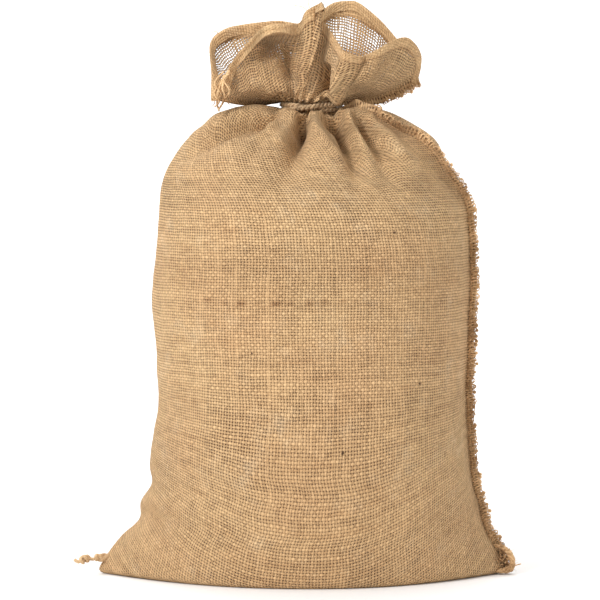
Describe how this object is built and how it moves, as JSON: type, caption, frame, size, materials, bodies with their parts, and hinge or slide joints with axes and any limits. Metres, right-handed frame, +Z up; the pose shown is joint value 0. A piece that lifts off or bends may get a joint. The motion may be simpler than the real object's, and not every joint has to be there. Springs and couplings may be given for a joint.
{
  "type": "burlap sack",
  "caption": "Filled burlap sack that stands upright, its neck gathered and tied with jute twine under an open ruffled mouth.",
  "frame": {"origin": "on the floor, under the middle of the sack's box", "axes": "+Z up through the tied neck, the front faces -Y, the sewn side seam is at +X and the folded edge at -X"},
  "size_m": [0.4048, 0.212, 0.5111],
  "materials": {
    "burlap": "matte",
    "frayed_jute": "matte",
    "jute_twine": "matte",
    "seam_thread": "matte"
  },
  "bodies": {
    "root": {"sack": "burlap", "seam_edge": "frayed_jute", "mouth_seam_edge": "frayed_jute", "neck_tie": "jute_twine", "tie_knot": "jute_twine", "corner_tail": "seam_thread"}
  },
  "joints": []
}
